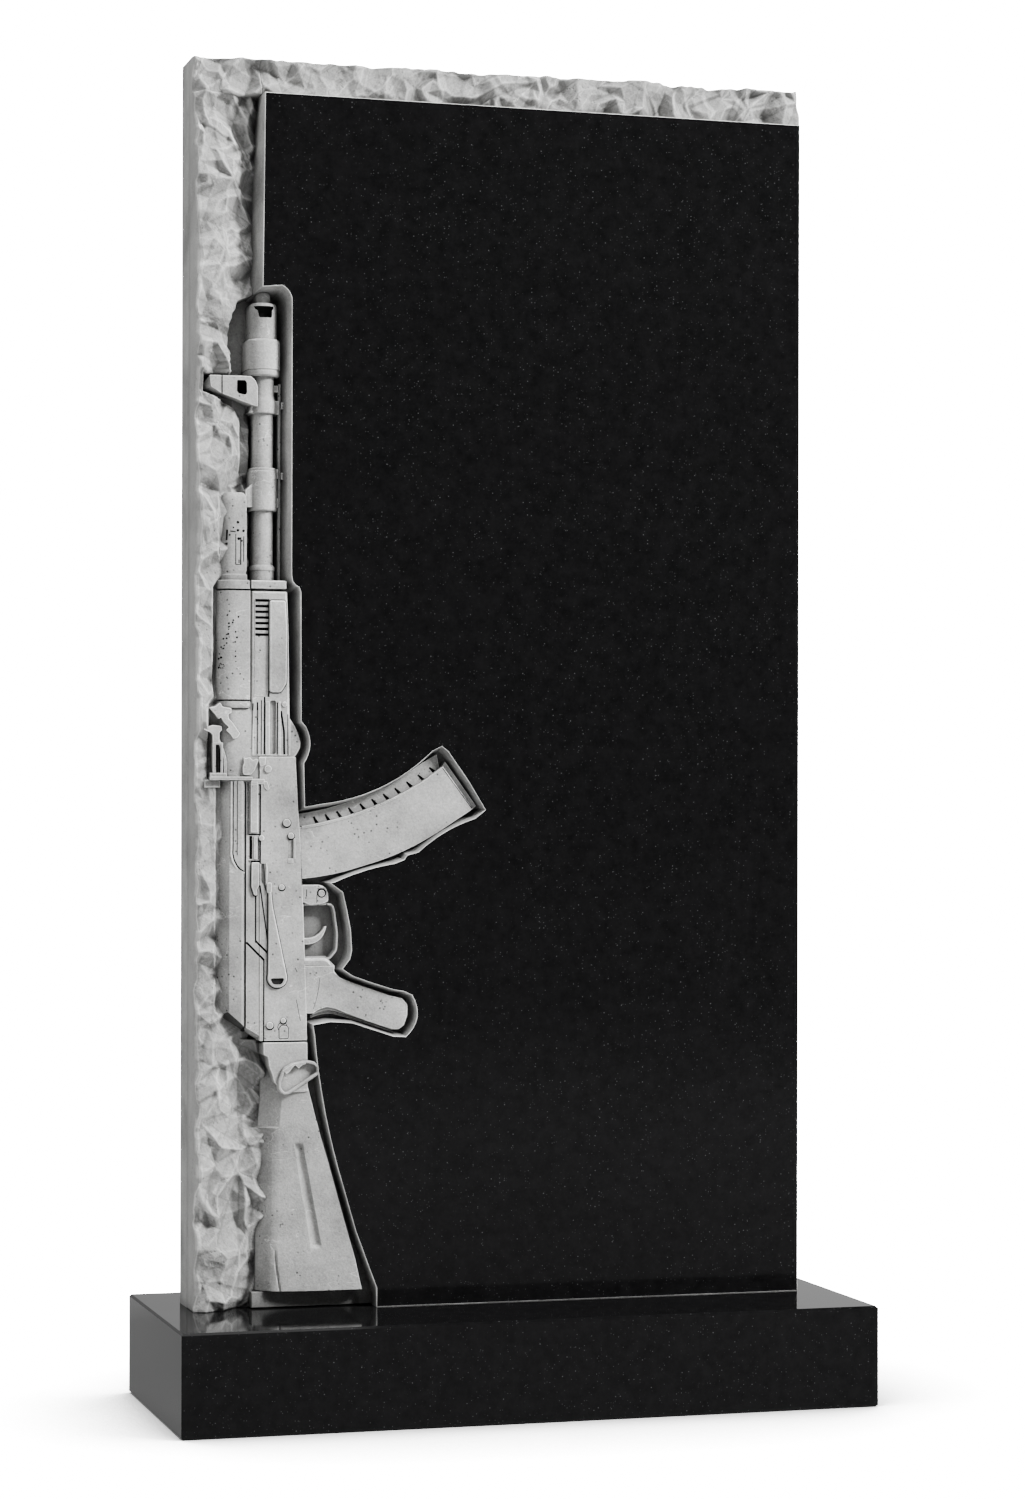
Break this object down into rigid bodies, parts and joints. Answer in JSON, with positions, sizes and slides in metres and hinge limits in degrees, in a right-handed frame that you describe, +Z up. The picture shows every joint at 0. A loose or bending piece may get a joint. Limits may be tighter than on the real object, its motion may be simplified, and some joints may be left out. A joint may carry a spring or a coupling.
{
  "type": "upright grave memorial with a carved rifle",
  "caption": "Upright dark stone on a plinth, with a polished panel, a rock-faced border and a rifle carved in deep relief down its left side.",
  "frame": {"origin": "on the ground, under the middle of the plinth", "axes": "+Z up, the polished face looks along -Y, +X to the right as seen from the front"},
  "size_m": [0.672, 0.272, 1.276],
  "materials": {
    "worked_stone": "matte, worked grey stone, on the rock-faced border, the carving and the sawn sides",
    "polished_stone": "mirror-polished near-black stone with fine pale specks, on the panel and the plinth"
  },
  "bodies": {
    "root": {"plinth": "polished_stone", "stele": "worked_stone"}
  },
  "joints": []
}
